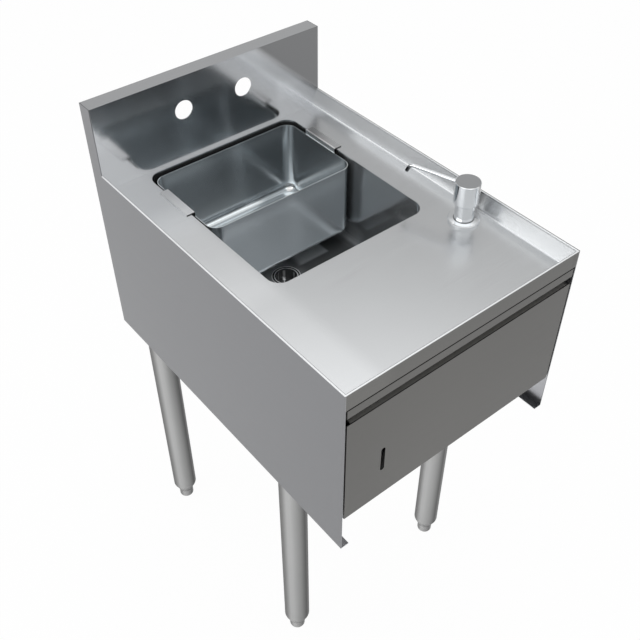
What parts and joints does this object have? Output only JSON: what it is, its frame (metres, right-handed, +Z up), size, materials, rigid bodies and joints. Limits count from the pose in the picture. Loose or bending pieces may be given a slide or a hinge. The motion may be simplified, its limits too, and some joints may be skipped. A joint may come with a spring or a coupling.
{
  "type": "underbar hand sink with ice pan",
  "caption": "Freestanding stainless bar sink on legs with a deep bowl, lift-out ice pan, soap pump, backsplash and tilt-out front door.",
  "frame": {"origin": "middle of the footprint, on the floor under the feet", "axes": "+X to the right seen from the front, +Y from the front towards the wall, +Z up; the front face looks along -Y"},
  "size_m": [0.381, 0.5414, 0.8509],
  "materials": {
    "stainless_sheet": "satin brushed stainless sheet",
    "pan_sheet": "bright drawn stainless",
    "frame_steel": "mill finish",
    "fastener_steel": "plain",
    "leg_tube": "polished tube",
    "foot_metal": "turned",
    "chrome_plate": "bright",
    "drain_metal": "bright",
    "black_rubber": "matte",
    "magnet_black": "matte",
    "brass_nut": "machined",
    "spring_steel": "plain",
    "white_plastic": "moulded",
    "bottle_plastic": "translucent moulded"
  },
  "bodies": {
    "unit": {"deck_top": "stainless_sheet", "sink_bowl": "stainless_sheet", "backsplash": "stainless_sheet", "left_side_panel": "stainless_sheet", "right_side_panel": "stainless_sheet", "rear_apron": "stainless_sheet", "deck_stiffener": "stainless_sheet", "header_strip": "stainless_sheet", "door_hinge_pins": "fastener_steel", "door_magnets": "magnet_black", "compartment_liner": "stainless_sheet", "left_leg_rail": "frame_steel", "right_leg_rail": "frame_steel", "front_cross_member": "frame_steel", "rear_cross_member": "frame_steel", "front_left_socket": "frame_steel", "front_right_socket": "frame_steel", "rear_left_socket": "frame_steel", "rear_right_socket": "frame_steel", "socket_bolts": "fastener_steel", "socket_set_screws": "fastener_steel", "front_left_leg": "leg_tube", "front_right_leg": "leg_tube", "rear_left_leg": "leg_tube", "rear_right_leg": "leg_tube", "drain_body": "drain_metal", "drain_gasket": "black_rubber", "drain_locknut": "brass_nut", "slip_nut": "chrome_plate", "drain_tailpiece": "chrome_plate", "pump_body": "chrome_plate", "pump_spring": "spring_steel", "pump_bush": "white_plastic", "pump_cylinder": "white_plastic", "pump_washer": "black_rubber", "pump_nut": "white_plastic", "soap_bottle": "bottle_plastic", "dip_tube": "white_plastic"},
    "door": {"front_door": "stainless_sheet"},
    "pan": {"ice_pan": "pan_sheet", "pan_hanger_left": "pan_sheet", "pan_hanger_right": "pan_sheet"},
    "cup": {"crumb_cup": "drain_metal"},
    "plunger": {"pump_stem": "white_plastic"},
    "pump_head": {"pump_cap": "chrome_plate", "pump_spout": "chrome_plate"},
    "foot_front_left": {"front_left_foot": "foot_metal"},
    "foot_front_right": {"front_right_foot": "foot_metal"},
    "foot_rear_left": {"rear_left_foot": "foot_metal"},
    "foot_rear_right": {"rear_right_foot": "foot_metal"}
  },
  "joints": [
    {"name": "door_tilt", "type": "hinge", "parent": "unit", "child": "door", "pos_m": [0, -0.2642, 0.5293], "axis": [1, 0, 0], "range_deg": [0, 40]},
    {"name": "pan_lift", "type": "slide", "parent": "unit", "child": "pan", "axis": [0, 0, 1], "range_m": [0, 0.15]},
    {"name": "cup_lift", "type": "slide", "parent": "unit", "child": "cup", "axis": [0, 0, 1], "range_m": [0, 0.02]},
    {"name": "pump_press", "type": "slide", "parent": "unit", "child": "plunger", "axis": [0, 0, -1], "range_m": [0, 0.014], "stiffness_N_per_m": 400, "springref_m": -0.015, "deforming": ["pump_spring"]},
    {"name": "spout_swivel", "type": "hinge", "parent": "plunger", "child": "pump_head", "pos_m": [0.1495, -0.1137, 0.7801], "axis": [0, 0, 1], "continuous": true},
    {"name": "front_left_level", "type": "slide", "parent": "unit", "child": "foot_front_left", "axis": [0, 0, -1], "range_m": [0, 0.015]},
    {"name": "front_right_level", "type": "slide", "parent": "unit", "child": "foot_front_right", "axis": [0, 0, -1], "range_m": [0, 0.015]},
    {"name": "rear_left_level", "type": "slide", "parent": "unit", "child": "foot_rear_left", "axis": [0, 0, -1], "range_m": [0, 0.015]},
    {"name": "rear_right_level", "type": "slide", "parent": "unit", "child": "foot_rear_right", "axis": [0, 0, -1], "range_m": [0, 0.015]}
  ]
}
